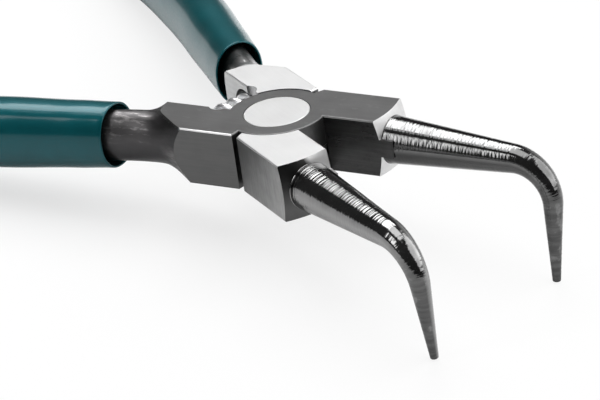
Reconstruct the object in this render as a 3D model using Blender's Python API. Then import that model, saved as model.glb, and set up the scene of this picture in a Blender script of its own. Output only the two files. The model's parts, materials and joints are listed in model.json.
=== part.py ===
# Circlip pliers for shafts, with tips bent square to the jaws, lying open on a bench.
#
# Two forged halves turn on a flush rivet. Each half is one forging: a tang inside its grip, a
# shoulder, a lap ring of half the head's thickness, a jaw block and a turned, bent tip. A small
# compression spring sits in a pocket in each shoulder and pushes the halves open.
#
# Each half is drawn in its closed frame: +X runs along the centre line towards the tips, +Y to
# the side of its jaw, and Z is 0 on the head's top face, with the pivot's axis at X = Y = 0.
# The arms then turn the halves to the open rest, and the stance sets the tool on the bench.

import math

import bmesh
import bpy
from mathutils import Matrix, Vector

# Sizes of the head, in metres
head_thickness = 0.012
half_width = 0.0114
ring_radius = 0.0101
recess_gap = 0.00033
lap_gap = 0.0003
edge_chamfer = 0.0003
jaw_face_offset = 0.0005
jaw_length = 0.022
jaw_back_corner = 0.00455
jaw_back_foot = 0.0034
jaw_end_taper = math.radians(12.6)
shoulder_face_offset = 0.00105
shoulder_front_corner = 0.00385
shoulder_front_foot = 0.0035
relief_distance = 0.013
relief_radius = 0.00215

# Sizes of the rivet
rivet_head_radius = 0.0065
rivet_head_depth = 0.0026
rivet_shank_radius = 0.004
rivet_chamfer = 0.0002
running_gap = 0.0003

# Sizes of the tips
tip_base_radius = 0.00483
tip_end_radius = 0.00082
tip_offset = 0.0054
tip_straight = 0.0272
tip_bend_radius = 0.0082
tip_nose = 0.0161
tip_fillet = 0.0003
tip_end_chamfer = 0.0002
tip_root_depth = 0.002
jaw_end_cut_depth = 0.0005
tip_toe_in = math.radians(3.8)
tip_bend_angle = math.radians(91.0)
tip_nose_lean = math.radians(4.4)

# Sizes of the tangs and of the flares that lead into them
near_handle_splay = math.radians(10.5)
near_handle_offset = 0.00014
far_handle_splay = math.radians(11.7)
far_handle_offset = 0.00135
tang_half_height = 0.00547
tang_half_width = 0.0036
tang_end_half_height = 0.0038
tang_dome = 0.0032
flare_rise = 0.00515
outer_flare_root = 0.03235
outer_flare_length = 0.0139
inner_flare_root = 0.02595
inner_flare_length = 0.00195
top_flare_root = 0.0276
top_flare_length = 0.0101
bottom_flare_root = 0.0245
bottom_flare_length = 0.0081
outer_square_root = 0.02275
inner_square_root = 0.02705
flare_square_length = 0.0035
flat_shoulder_reach = 0.031
envelope_reach = 0.05
envelope_radius = 0.024
bow_start = 0.061
bow_radius = 0.24

# Sizes of the grips
grip_mouth = 0.0346
grip_end = 0.1205
grip_end_wall = 0.008
grip_top_wall = 0.00173
grip_side_wall = 0.00207
grip_dome = 0.0085
grip_mouth_slant = math.radians(16)
grip_rim = 0.00035
grip_mouth_gap = 0.0008
grip_mouth_flare = 0.0035
grip_fit_gap = 0.0003

# Sizes of the spring and its pockets
pocket_distance = 0.0165
pocket_radius = 0.0045
pocket_depth = 0.006
spring_radius = 0.0031
spring_mouth_shift = 0.00035
spring_wire = 0.0013
spring_end_gap = 0.0003
spring_end_pitch = 0.00175

# Angles and counts
half_opening = math.radians(16.5)
spring_slack_angle = math.radians(7.5)
shading_angle = math.radians(32)
spring_end_turns = 1
spring_body_turns = 6.25
points_per_turn = 9
round_steps = 48
ring_points = 28
tip_points = 20

# One overrun serves all cuts
overrun = 0.002

# Shares of the grip's length, each with the share of its full section there
grip_swell_shares = ((0.0, 0.905), (0.1, 0.935), (0.28, 0.985), (0.5, 1.0), (0.72, 0.97), (0.9, 0.925), (1.0, 0.9))
# Shares of a rounded end's depth where its sections are drawn
tang_dome_shares = (0.45, 0.8, 0.97)
grip_dome_shares = (0.985, 0.9, 0.74, 0.52, 0.27)
# Powers of the rounded sections: 2 is an ellipse, 4 is nearer to a rectangle
oval_power = 2.0
grip_power = 2.2
outer_block_power = 2.18
inner_block_power = 4.0

# The tang ends inside its grip, whose full section is the tang's with a gap and a wall round it
tang_end = grip_end - grip_end_wall
grip_half_height = tang_half_height + grip_fit_gap + grip_top_wall
grip_half_width = tang_half_width + grip_fit_gap + grip_side_wall

# The middle of the head's thickness, and the round hollow that takes the other half's lap ring
mid_height = -head_thickness / 2
recess_radius = ring_radius + recess_gap


def clear_scene():
    for item in list(bpy.data.objects):
        bpy.data.objects.remove(item, do_unlink=True)


def finish_material(name, color, metallic, roughness):
    material = bpy.data.materials.new(name)
    material.use_nodes = True
    shader = material.node_tree.nodes["Principled BSDF"]
    shader.inputs["Base Color"].default_value = (*color, 1.0)
    shader.inputs["Metallic"].default_value = metallic
    shader.inputs["Roughness"].default_value = roughness
    material.diffuse_color = (*color, 1.0)
    return material


def add_object(name, data, parent=None, material=None):
    item = bpy.data.objects.new(name, data)
    bpy.context.scene.collection.objects.link(item)
    item.parent = parent
    if material:
        data.materials.append(material)
    return item


def add_empty(name, parent=None, turn=0.0):
    item = add_object(name, None, parent)
    item.rotation_euler = (0, 0, turn)
    return item


def mesh_from(name, work):
    bmesh.ops.recalc_face_normals(work, faces=work.faces)
    mesh = bpy.data.meshes.new(name)
    work.to_mesh(mesh)
    work.free()
    mesh.shade_smooth()
    mesh.set_sharp_from_angle(angle=shading_angle)
    return mesh


def prism(name, outline, bottom, top, chamfer=0.0):
    """A plan outline raised from bottom to top, with its top and bottom edges chamfered."""
    work = bmesh.new()
    ring = [work.verts.new((x, y, bottom)) for x, y in outline]
    base = work.faces.new(ring)
    raised = bmesh.ops.extrude_face_region(work, geom=[base])["geom"]
    bmesh.ops.translate(work, vec=(0, 0, top - bottom), verts=[v for v in raised if isinstance(v, bmesh.types.BMVert)])
    bmesh.ops.recalc_face_normals(work, faces=work.faces)
    if chamfer:
        level = [e for e in work.edges if abs(e.verts[0].co.z - e.verts[1].co.z) < chamfer]
        bmesh.ops.bevel(work, geom=level, offset=chamfer, segments=1, affect="EDGES", profile=0.5)
    return mesh_from(name, work)


def loft(name, rings):
    """Closed rings of points joined in order, with a flat cap on each end."""
    work = bmesh.new()
    rows = [[work.verts.new(p) for p in ring] for ring in rings]
    for row, following in zip(rows, rows[1:]):
        for i in range(len(row)):
            j = (i + 1) % len(row)
            work.faces.new((row[i], row[j], following[j], following[i]))
    work.faces.new(rows[0])
    work.faces.new(rows[-1])
    return mesh_from(name, work)


def turned(name, profile, placement, steps=round_steps):
    """A profile of (distance along the axis, radius) turned about Z, then placed."""
    rings = []
    for height, radius in profile:
        angles = [2 * math.pi * i / steps for i in range(steps)]
        rings.append([placement @ Vector((radius * math.cos(a), radius * math.sin(a), height)) for a in angles])
    return loft(name, rings)


def combine(item, other, operation):
    step = item.modifiers.new(other.name, "BOOLEAN")
    step.operation = operation
    step.object = other
    step.solver = "EXACT"


def tool(name, mesh, parent):
    """A solid that only shapes others: it stays in the file, unseen."""
    item = add_object(name, mesh, parent)
    item.hide_render = True
    item.display_type = "WIRE"
    return item


def circle_reach(radius, offset):
    return math.sqrt(radius * radius - offset * offset)


def arc(radius, start, end, centre=(0.0, 0.0)):
    """Points on an arc, the end point included, about as fine as a full round piece."""
    steps = max(2, round(abs(end - start) / (2 * math.pi) * round_steps))
    angles = [start + (end - start) * i / steps for i in range(steps + 1)]
    return [(centre[0] + radius * math.cos(a), centre[1] + radius * math.sin(a)) for a in angles]


def mirrored(points, side):
    return [(x, y * side) for x, y in points]


def smooth_share(table, at):
    """The table's second column at a place in its first, eased between the rows."""
    for (low, low_value), (high, high_value) in zip(table, table[1:]):
        if at <= high:
            part = (at - low) / (high - low)
            ease = part * part * (3 - 2 * part)
            return low_value + (high_value - low_value) * ease
    return table[-1][1]


def handle_place(along, side):
    """Centre of the handle at a distance from the pivot, with its outward direction."""
    splay, offset = near_handle_splay, near_handle_offset
    if side < 0:
        splay, offset = far_handle_splay, far_handle_offset
    offset *= min(1.0, max(0.0, along / grip_mouth))
    x = -min(along, bow_start) * math.cos(splay) + offset * math.sin(splay)
    y = -min(along, bow_start) * math.sin(splay) - offset * math.cos(splay)
    turn = splay
    if along > bow_start:
        turn = splay - (along - bow_start) / bow_radius
        x -= bow_radius * (math.sin(splay) - math.sin(turn))
        y -= bow_radius * (math.cos(turn) - math.cos(splay))
    outward = Vector((math.sin(turn), -math.cos(turn) * side, 0))
    return Vector((x, y * side, mid_height)), outward


def handle_ring(along, side, outer, inner, height, outer_power=oval_power, inner_power=oval_power, slant=0.0):
    """A rounded section of the handle, with its own outer and inner half widths and powers.

    It is square to the handle, or slanted so that its inner side lies nearer to the head.
    """
    centre, outward = handle_place(along, side)
    rearward = outward.cross(Vector((0, 0, side)))
    ring = []
    for i in range(ring_points):
        a = 2 * math.pi * i / ring_points
        c, s = math.cos(a), math.sin(a)
        width, power = (outer, outer_power) if c > 0 else (inner, inner_power)
        across = math.copysign(abs(c) ** (2 / power), c) * width
        up = math.copysign(abs(s) ** (2 / power), s) * height
        ring.append(centre + outward * across + rearward * across * math.tan(slant) + Vector((0, 0, up)))
    return ring


def flared(size, along, root, length):
    """A half size of the tang, grown by its flare towards the head."""
    return min(envelope_radius, size + flare_rise * (max(0.0, root - along) / length) ** 2)


def tang_section(along):
    """Half width and half height of the bare tang."""
    part = max(0.0, (along - grip_mouth) / (tang_end - grip_mouth))
    height = tang_half_height + (tang_end_half_height - tang_half_height) * part
    return tang_half_width * height / tang_half_height, height


def forging_ring(along, side):
    """A section of the envelope that the tang, its flare and the head are forged within."""
    width, height = tang_section(along)
    outer = flared(width, along, outer_flare_root, outer_flare_length)
    inner = flared(width, along, inner_flare_root, inner_flare_length)
    above = flared(height, along, top_flare_root, top_flare_length)
    below = flared(height, along, bottom_flare_root, bottom_flare_length)
    powers = []
    for root, power in ((outer_square_root, outer_block_power), (inner_square_root, inner_block_power)):
        square = min(1.0, max(0.0, (root - along) / flare_square_length))
        powers.append(oval_power + (power - oval_power) * square)
    ring = handle_ring(along, side, outer, inner, above, *powers)
    for point in ring:
        if point.z < mid_height:
            point.z = mid_height + (point.z - mid_height) * below / above
    return ring


def head_outline(side):
    """Plan of jaw, lap ring and shoulder as one outline, opened wide round the tang."""
    jaw_foot = (jaw_back_foot, circle_reach(recess_radius, jaw_back_foot))
    shoulder_foot = (-shoulder_front_foot, -circle_reach(recess_radius, shoulder_front_foot))
    jaw_angle = math.atan2(jaw_foot[1], jaw_foot[0])
    shoulder_angle = math.atan2(shoulder_foot[1], shoulder_foot[0])
    front = jaw_length + envelope_radius
    wide = envelope_reach
    points = [(front, jaw_face_offset), (front, half_width), (jaw_back_corner, half_width), jaw_foot]
    rear_angle = math.pi + math.asin(shoulder_face_offset / ring_radius)
    points += arc(ring_radius, jaw_angle, rear_angle)
    points += [(-flat_shoulder_reach, -shoulder_face_offset), (-flat_shoulder_reach, wide), (-grip_end - wide, wide)]
    points += [(-grip_end - wide, -wide), (-flat_shoulder_reach, -wide), (-flat_shoulder_reach, -half_width)]
    points += [(-shoulder_front_corner, -half_width), shoulder_foot]
    points += arc(ring_radius, shoulder_angle, math.asin(jaw_face_offset / ring_radius))
    return mirrored(points, side)


def forging_envelope(side):
    """The turned and forged limits of one half, from in front of the jaw to the tang's end."""
    stops = [-envelope_reach]
    steps = 28
    start = outer_flare_root - outer_flare_length * math.sqrt(envelope_radius / flare_rise)
    end = outer_flare_root
    stops += [start + (end - start) * i / steps for i in range(steps + 1)]
    steps = 12
    stops += [end + (tang_end - tang_dome - end) * (i + 1) / steps for i in range(steps)]
    rings = [forging_ring(s, side) for s in stops]
    for part in tang_dome_shares:
        shrink = math.sqrt(1 - part * part)
        width, height = (size * shrink for size in tang_section(tang_end))
        rings.append(handle_ring(tang_end - tang_dome * (1 - part), side, width, width, height))
    return loft("forging_envelope", rings)


def jaw_end_placement(side):
    """The tip's own axis, with Z along it and its origin in the jaw's end face."""
    forward = Vector((math.cos(tip_toe_in), -math.sin(tip_toe_in) * side, 0))
    start = Vector((jaw_length, tip_offset * side, mid_height))
    return Matrix.Translation(start) @ forward.to_track_quat("Z", "Y").to_matrix().to_4x4()


def jaw_end_cutter(side):
    """Everything ahead of the jaw's end, which is turned as a shallow cone round the tip."""
    wide = envelope_radius
    back = (wide - tip_base_radius) * math.tan(jaw_end_taper)
    profile = [(envelope_reach, wide), (-back, wide), (0, tip_base_radius), (0, jaw_end_cut_depth)]
    return turned("jaw_end_cutter", profile, jaw_end_placement(side))


def tip_radius(along):
    whole = tip_straight + tip_bend_radius * tip_bend_angle + tip_nose
    return tip_base_radius + (tip_end_radius - tip_base_radius) * along / whole


def tip_solid(side):
    """A long turned cone, bent square near its middle, with a blunt end."""
    forward = Vector((math.cos(tip_toe_in), -math.sin(tip_toe_in) * side, 0))
    level = Vector((-math.sin(tip_toe_in), -math.cos(tip_toe_in) * side, 0))
    down = Vector((0, 0, -1)) * math.cos(tip_nose_lean) + level * math.sin(tip_nose_lean)
    start = Vector((jaw_length, tip_offset * side, mid_height))
    bend_length = tip_bend_radius * tip_bend_angle
    whole = tip_straight + bend_length + tip_nose

    def place(along):
        if along <= tip_straight:
            return start + forward * along, forward
        turn = min(tip_bend_angle, (along - tip_straight) / tip_bend_radius)
        heading = forward * math.cos(turn) + down * math.sin(turn)
        point = start + forward * (tip_straight + tip_bend_radius * math.sin(turn))
        point += down * tip_bend_radius * (1 - math.cos(turn))
        return point + heading * max(0.0, along - tip_straight - bend_length), heading

    stops = [(-tip_root_depth, tip_base_radius + tip_fillet), (0, tip_base_radius + tip_fillet)]
    for i in (1, 2, 3):
        a = math.pi / 2 * i / 3
        along = tip_fillet * math.sin(a)
        stops.append((along, tip_radius(along) + tip_fillet * (1 - math.sin(a))))
    steps = 6
    stops += [(tip_straight * i / steps, tip_radius(tip_straight * i / steps)) for i in range(1, steps + 1)]
    steps = 9
    for i in range(1, steps + 1):
        along = tip_straight + bend_length * i / steps
        stops.append((along, tip_radius(along)))
    steps = 4
    for i in range(1, steps + 1):
        along = tip_straight + bend_length + (tip_nose - tip_end_chamfer) * i / steps
        stops.append((along, tip_radius(along)))
    stops.append((whole, tip_end_radius - tip_end_chamfer))
    rings = []
    for along, radius in stops:
        centre, heading = place(along)
        across = heading.cross(level).normalized()
        aside = heading.cross(across).normalized()
        angles = [2 * math.pi * i / tip_points for i in range(tip_points)]
        rings.append([centre + across * radius * math.cos(a) + aside * radius * math.sin(a) for a in angles])
    return loft("tip", rings)


def rivet_profile(gap):
    """Half the rivet's outline, from its lower head to its upper, grown by a gap."""
    reach = overrun if gap else 0.0
    head = rivet_head_radius + gap
    shank = rivet_shank_radius + gap
    low, high = -head_thickness - reach, reach
    low_head, high_head = -head_thickness + rivet_head_depth + gap, -rivet_head_depth - gap
    if gap:
        return [(low, head), (low_head, head), (low_head, shank), (high_head, shank), (high_head, head), (high, head)]
    edge = rivet_chamfer
    return [(low, head - edge), (low + edge, head), (low_head, head), (low_head, shank),
            (high_head, shank), (high_head, head), (high - edge, head), (high, head - edge)]


def forged_half(name, side, lap_on_top, arm, material):
    """One half of the pliers: side is +1 where its jaw lies at +Y in its closed frame."""
    body = add_object(name, prism(name, head_outline(side), -head_thickness, 0.0, edge_chamfer), arm, material)
    tip = tool(name + "_tip", tip_solid(side), arm)
    combine(body, tool(name + "_envelope", forging_envelope(side), arm), "INTERSECT")
    combine(body, tool(name + "_jaw_end", jaw_end_cutter(side), arm), "DIFFERENCE")
    combine(body, tip, "UNION")

    cut_low, cut_high = (-head_thickness - overrun, mid_height + lap_gap / 2)
    if not lap_on_top:
        cut_low, cut_high = (mid_height - lap_gap / 2, overrun)
    recess = turned("recess", [(cut_low, recess_radius), (cut_high, recess_radius)], Matrix.Identity(4))
    combine(body, tool(name + "_recess", recess, arm), "DIFFERENCE")

    bore = turned("bore", rivet_profile(running_gap), Matrix.Identity(4))
    combine(body, tool(name + "_bore", bore, arm), "DIFFERENCE")

    relief_place = Matrix.Translation((-relief_distance, 0, 0))
    relief_span = [(-head_thickness - overrun, relief_radius), (overrun, relief_radius)]
    relief = turned("relief", relief_span, relief_place, round_steps // 2)
    combine(body, tool(name + "_relief", relief, arm), "DIFFERENCE")

    into = Vector((0, -side, 0)).to_track_quat("Z", "X").to_matrix().to_4x4()
    pocket_place = Matrix.Translation((-pocket_distance, 0, mid_height)) @ into
    floor = shoulder_face_offset + pocket_depth
    pocket = turned("pocket", [(0, pocket_radius), (floor, pocket_radius)], pocket_place, round_steps * 2 // 3)
    combine(body, tool(name + "_pocket", pocket, arm), "DIFFERENCE")
    return body


def pivot_rivet(arm, material):
    mesh = turned("pivot_rivet", rivet_profile(0.0), Matrix.Identity(4))
    return add_object("pivot_rivet", mesh, arm, material)


def grip_outer(along):
    share = smooth_share(grip_swell_shares, (along - grip_mouth) / (grip_end - grip_mouth))
    return grip_half_width * share, grip_half_height * share


def grip_sleeve(name, side, arm, material):
    """A closed sleeve over the tang: outer skin, rounded mouth, and a bore that follows the tang."""
    rear = grip_end - grip_dome
    front = grip_mouth + grip_rim
    rings = []

    def skin(along, width, height):
        slant = grip_mouth_slant * min(1.0, max(0.0, (rear - along) / (rear - front)))
        rings.append(handle_ring(along, side, width, width, height, grip_power, grip_power, slant))

    for part in grip_dome_shares:
        shrink = math.sqrt(1 - part * part)
        width, height = grip_outer(rear)
        skin(grip_end - grip_dome * (1 - part), width * shrink, height * shrink)
    steps = 14
    for i in range(steps + 1):
        along = rear + (front - rear) * i / steps
        skin(along, *grip_outer(along))
    width, height = grip_outer(grip_mouth)
    for turn in (math.pi / 4, math.pi / 2):
        inset = grip_rim * (1 - math.cos(turn))
        skin(grip_mouth + grip_rim * (1 - math.sin(turn)), width - inset, height - inset)

    def bore(along, gap, slant=0.0):
        width, height = tang_section(along)
        rings.append(handle_ring(along, side, width + gap, width + gap, height + gap, slant=slant))

    bore(grip_mouth, grip_mouth_gap, grip_mouth_slant)
    bore(grip_mouth + grip_mouth_flare, grip_fit_gap, grip_mouth_slant)
    steps = 9
    start, end = grip_mouth + grip_mouth_flare, tang_end - tang_dome
    for i in range(1, steps + 1):
        bore(start + (end - start) * i / steps, grip_fit_gap)
    bore(tang_end + grip_fit_gap, grip_fit_gap)
    return add_object(name, loft(name, rings), arm, material)


def spring_path():
    """Rest path of the spring's axis as a function of distance, and its whole length.

    It runs straight out of one pocket, in an arc across the gap, and straight into the other. It uses
    the pockets' slack to bend by less than the angle between them.
    """
    lean_in = half_opening - spring_slack_angle
    mouth = Matrix.Rotation(half_opening, 2) @ Vector((spring_mouth_shift - pocket_distance, -shoulder_face_offset))
    into = Matrix.Rotation(lean_in, 2) @ Vector((0, -1))
    bend = -mouth.y / math.sin(lean_in)
    centre_x = mouth.x + bend * math.cos(lean_in)
    straight = pocket_depth - spring_end_gap - spring_wire / 2
    arc_length = 2 * lean_in * bend
    whole = 2 * straight + arc_length

    def place(along):
        across = along - whole / 2
        if abs(across) <= arc_length / 2:
            a = across / bend
            return Vector((centre_x - bend * math.cos(a), bend * math.sin(a), mid_height)), a
        past = abs(across) - arc_length / 2
        point = mouth + into * past
        sign = math.copysign(1.0, across)
        return Vector((point.x, -point.y * sign, mid_height)), lean_in * sign

    return place, whole


def return_spring(stance, material):
    place, whole = spring_path()
    body_pitch = (whole - 2 * spring_end_turns * spring_end_pitch) / spring_body_turns
    turns = spring_body_turns + 2 * spring_end_turns
    count = round(turns * points_per_turn)
    points = []
    for i in range(count + 1):
        turned_by = turns * i / count
        first = min(turned_by, spring_end_turns)
        body = min(max(turned_by - spring_end_turns, 0), spring_body_turns)
        last = max(turned_by - spring_end_turns - spring_body_turns, 0)
        centre, lean = place((first + last) * spring_end_pitch + body * body_pitch)
        a = 2 * math.pi * turned_by
        aside = Vector((-math.cos(lean), math.sin(lean), 0))
        points.append(centre + aside * spring_radius * math.cos(a) + Vector((0, 0, spring_radius * math.sin(a))))
    far = points_per_turn // 2
    nearest = min((points[i] - points[j]).length for i in range(count + 1) for j in range(i + far, count + 1))
    print("spring: least gap to itself %.2f mm" % ((nearest - spring_wire) * 1000))

    curve = bpy.data.curves.new("return_spring", "CURVE")
    curve.dimensions = "3D"
    curve.bevel_depth = spring_wire / 2
    curve.bevel_resolution = 1
    curve.use_fill_caps = True
    line = curve.splines.new("POLY")
    line.points.add(len(points) - 1)
    for knot, point in zip(line.points, points):
        knot.co = (*point, 1.0)
    return add_object("return_spring", curve, stance, material)


def solid_points(items):
    """Corner points of the finished solids, in the scene's frame."""
    graph = bpy.context.evaluated_depsgraph_get()
    points = []
    for item in items:
        ready = item.evaluated_get(graph)
        mesh = ready.to_mesh()
        points += [ready.matrix_world @ v.co for v in mesh.vertices]
        ready.to_mesh_clear()
    return points


def set_on_bench(stance, items):
    """Lean the tool until tips and handles both touch, then put its box on the origin."""
    bpy.context.view_layer.update()
    points = solid_points(items)
    front = [p for p in points if p.x > 0]
    rear = [p for p in points if p.x <= 0]
    lean = 0.0
    for _ in range(12):
        turn = Matrix.Rotation(-lean, 3, "Y")
        low_front = min((turn @ p for p in front), key=lambda p: p.z)
        low_rear = min((turn @ p for p in rear), key=lambda p: p.z)
        lean += math.atan2(low_rear.z - low_front.z, low_front.x - low_rear.x)
    turn = Matrix.Rotation(-lean, 3, "Y")
    placed = [turn @ p for p in points]
    middle = [(min(p[k] for p in placed) + max(p[k] for p in placed)) / 2 for k in (0, 1)]
    stance.rotation_euler = (0, -lean, 0)
    stance.location = (-middle[0], -middle[1], -min(p.z for p in placed))
    print("stance: lean %.4f deg, pivot at %s" % (math.degrees(lean), tuple(stance.location)))


def build():
    clear_scene()
    dark_steel = finish_material("dark_steel", (0.13, 0.13, 0.13), 1.0, 0.4)
    bright_steel = finish_material("bright_steel", (0.62, 0.62, 0.62), 1.0, 0.32)
    rivet_steel = finish_material("rivet_steel", (0.72, 0.72, 0.72), 1.0, 0.3)
    spring_steel = finish_material("spring_steel", (0.8, 0.8, 0.8), 1.0, 0.12)
    grip_plastic = finish_material("grip_plastic", (0.0, 0.1, 0.1), 0.0, 0.22)

    stance = add_empty("stance")
    arm_a = add_empty("arm_a", stance, half_opening)
    arm_b = add_empty("arm_b", stance, -half_opening)
    items = [
        forged_half("half_a", 1, True, arm_a, dark_steel),
        forged_half("half_b", -1, False, arm_b, bright_steel),
        pivot_rivet(arm_b, rivet_steel),
        grip_sleeve("grip_a", 1, arm_a, grip_plastic),
        grip_sleeve("grip_b", -1, arm_b, grip_plastic),
        return_spring(stance, spring_steel),
    ]
    set_on_bench(stance, items)


build()
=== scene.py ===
import json
import math

import bmesh
import bpy
from mathutils import Matrix, Vector


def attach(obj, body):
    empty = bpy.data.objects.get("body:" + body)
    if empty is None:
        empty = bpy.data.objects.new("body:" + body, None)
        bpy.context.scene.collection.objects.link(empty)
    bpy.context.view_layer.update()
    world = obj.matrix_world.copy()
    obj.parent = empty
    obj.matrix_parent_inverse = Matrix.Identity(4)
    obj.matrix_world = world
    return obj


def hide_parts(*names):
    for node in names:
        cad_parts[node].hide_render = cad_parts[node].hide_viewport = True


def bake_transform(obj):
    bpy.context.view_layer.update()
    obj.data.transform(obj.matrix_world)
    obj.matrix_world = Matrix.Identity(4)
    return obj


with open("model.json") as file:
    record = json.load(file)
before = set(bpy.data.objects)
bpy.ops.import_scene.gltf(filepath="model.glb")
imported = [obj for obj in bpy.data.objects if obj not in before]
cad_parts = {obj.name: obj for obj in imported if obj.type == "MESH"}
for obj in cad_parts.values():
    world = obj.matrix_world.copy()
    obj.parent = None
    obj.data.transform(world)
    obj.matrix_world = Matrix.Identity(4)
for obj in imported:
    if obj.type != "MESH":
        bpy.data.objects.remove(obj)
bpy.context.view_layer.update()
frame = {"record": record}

MM = 0.001

# The tool's own frame: Z = 0 on the head's top face, +X towards the tips, the pivot at X = Y = 0.
# Side 1 is half A, the dark one with the upper lap ring, and side -1 is half B, the bright one.
HEAD = 12.0 * MM
MID = -HEAD / 2
HALF_OPENING = math.radians(16.5)
hinge = frame["record"]["behaviour"]["joints"][0]
axis_z = Vector(hinge["axis"]).normalized()
axis_x = Vector((0, 1, 0)).cross(axis_z).normalized()
axis_y = axis_z.cross(axis_x)
STANCE = Matrix((axis_x, axis_y, axis_z)).transposed().to_4x4()
STANCE.translation = Vector(hinge["pos_m"]) + axis_z * (HEAD / 2)
ARM = {side: STANCE @ Matrix.Rotation(side * HALF_OPENING, 4, "Z") for side in (1, -1)}
BODY = {1: "moving_half", -1: "fixed_half"}

# The camera's right, down and ahead directions and its place in millimetres, in the tool's frame, fitted to
# the head, the rivet and both tips in the photograph
CAMERA_AXES = ((0.700055, 0.702407, -0.128634),
               (0.239438, -0.400602, -0.884414),
               (-0.672749, 0.588338, -0.448627))
CAMERA_PLACE = (469.1716, -407.597, 292.0372)
SENSOR, LENS, CLIP_START = 36.0, 210.0, 0.01


def make_camera():
    right, down, ahead = (Vector(row) for row in CAMERA_AXES)
    place = Matrix((right, -down, -ahead)).transposed().to_4x4()
    place.translation = Vector(CAMERA_PLACE) * MM
    data = bpy.data.cameras.new("photo_camera")
    data.sensor_width = SENSOR
    data.lens = LENS
    data.clip_start = CLIP_START
    camera = bpy.data.objects.new("photo_camera", data)
    bpy.context.scene.collection.objects.link(camera)
    camera.matrix_world = STANCE @ place
    bpy.context.scene.camera = camera


make_camera()


# Mesh helpers

def add_object(name, mesh, material=None):
    item = bpy.data.objects.new(name, mesh)
    bpy.context.scene.collection.objects.link(item)
    if material is not None:
        mesh.materials.append(material)
    return item


def smooth_by_angle(mesh, degrees):
    mesh.shade_smooth()
    mesh.set_sharp_from_angle(angle=math.radians(degrees))


def mesh_from(name, work, degrees=28):
    bmesh.ops.recalc_face_normals(work, faces=work.faces)
    mesh = bpy.data.meshes.new(name)
    work.to_mesh(mesh)
    work.free()
    smooth_by_angle(mesh, degrees)
    return mesh


def prism(name, outline, bottom, top, chamfer=0.0):
    """An outline raised from bottom to top, with its level edges chamfered."""
    work = bmesh.new()
    base = work.faces.new([work.verts.new((x, y, bottom)) for x, y in outline])
    raised = bmesh.ops.extrude_face_region(work, geom=[base])["geom"]
    corners = [item for item in raised if isinstance(item, bmesh.types.BMVert)]
    bmesh.ops.translate(work, vec=(0, 0, top - bottom), verts=corners)
    bmesh.ops.recalc_face_normals(work, faces=work.faces)
    if chamfer:
        level = [e for e in work.edges if abs(e.verts[0].co.z - e.verts[1].co.z) < chamfer]
        bmesh.ops.bevel(work, geom=level, offset=chamfer, segments=3, affect="EDGES", profile=0.5)
    return mesh_from(name, work)


def loft(name, rings, caps=(True, True), uv=None, degrees=28):
    """Closed rings of points joined in order; uv gives each ring's V, and U runs round the ring."""
    work = bmesh.new()
    layer = work.loops.layers.uv.new("UVMap") if uv else None
    rows = [[work.verts.new(p) for p in ring] for ring in rings]
    count = len(rings[0])
    for k, (row, following) in enumerate(zip(rows, rows[1:])):
        for i in range(count):
            j = (i + 1) % count
            face = work.faces.new((row[i], row[j], following[j], following[i]))
            if layer:
                for loop, at in zip(face.loops, ((i, k), (i + 1, k), (i + 1, k + 1), (i, k + 1))):
                    loop[layer].uv = (at[0] / count, uv[at[1]])
    if caps[0]:
        work.faces.new(rows[0])
    if caps[1]:
        work.faces.new(rows[-1])
    return mesh_from(name, work, degrees)


def turned(name, profile, place=Matrix.Identity(4), steps=128):
    """A solid of revolution about Z from (height, radius) pairs, moved by place."""
    rings = []
    for height, radius in profile:
        angles = [2 * math.pi * i / steps for i in range(steps)]
        rings.append([place @ Vector((radius * math.cos(a), radius * math.sin(a), height)) for a in angles])
    return loft(name, rings)


def cut_mesh(name, mesh, steps):
    """The mesh after a list of (operation, mesh) Boolean steps, as a new mesh."""
    item = add_object(name, mesh)
    helpers = []
    for operation, other in steps:
        helper = add_object(name + "_step", other)
        helpers.append(helper)
        step = item.modifiers.new("step", "BOOLEAN")
        step.operation = operation
        step.object = helper
        step.solver = "EXACT"
    bpy.context.view_layer.update()
    ready = item.evaluated_get(bpy.context.evaluated_depsgraph_get())
    result = bpy.data.meshes.new_from_object(ready)
    for helper in helpers + [item]:
        bpy.data.objects.remove(helper, do_unlink=True)
    result.name = name
    return result


def arc(radius, start, end, whole=128):
    steps = max(2, round(abs(end - start) / (2 * math.pi) * whole))
    angles = [start + (end - start) * i / steps for i in range(steps + 1)]
    return [(radius * math.cos(a), radius * math.sin(a)) for a in angles]


# Sizes from the solid model, apart from its running gaps, which are narrower here round the rivet and
# the lap rings, and the turned end of each jaw, which is steeper and has a sharper root
HALF_WIDTH = 11.4 * MM
RING, RECESS = 10.1 * MM, 10.3 * MM
LAP_GAP = 0.12 * MM
CHAMFER = 0.3 * MM
JAW_FACE, JAW_LENGTH = 0.5 * MM, 22.0 * MM
JAW_BACK, JAW_FOOT = 4.55 * MM, 3.4 * MM
SHOULDER_FACE, SHOULDER_FRONT, SHOULDER_FOOT = 1.05 * MM, 3.85 * MM, 3.5 * MM
SHOULDER_REACH = 31.0 * MM
RELIEF_AT, RELIEF_R = 13.0 * MM, 2.15 * MM
RIVET_R, RIVET_DEPTH, SHANK_R = 6.62 * MM, 2.6 * MM, 4.0 * MM
RIVET_GAP, RIVET_CHAMFER = 0.1 * MM, 0.12 * MM

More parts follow.
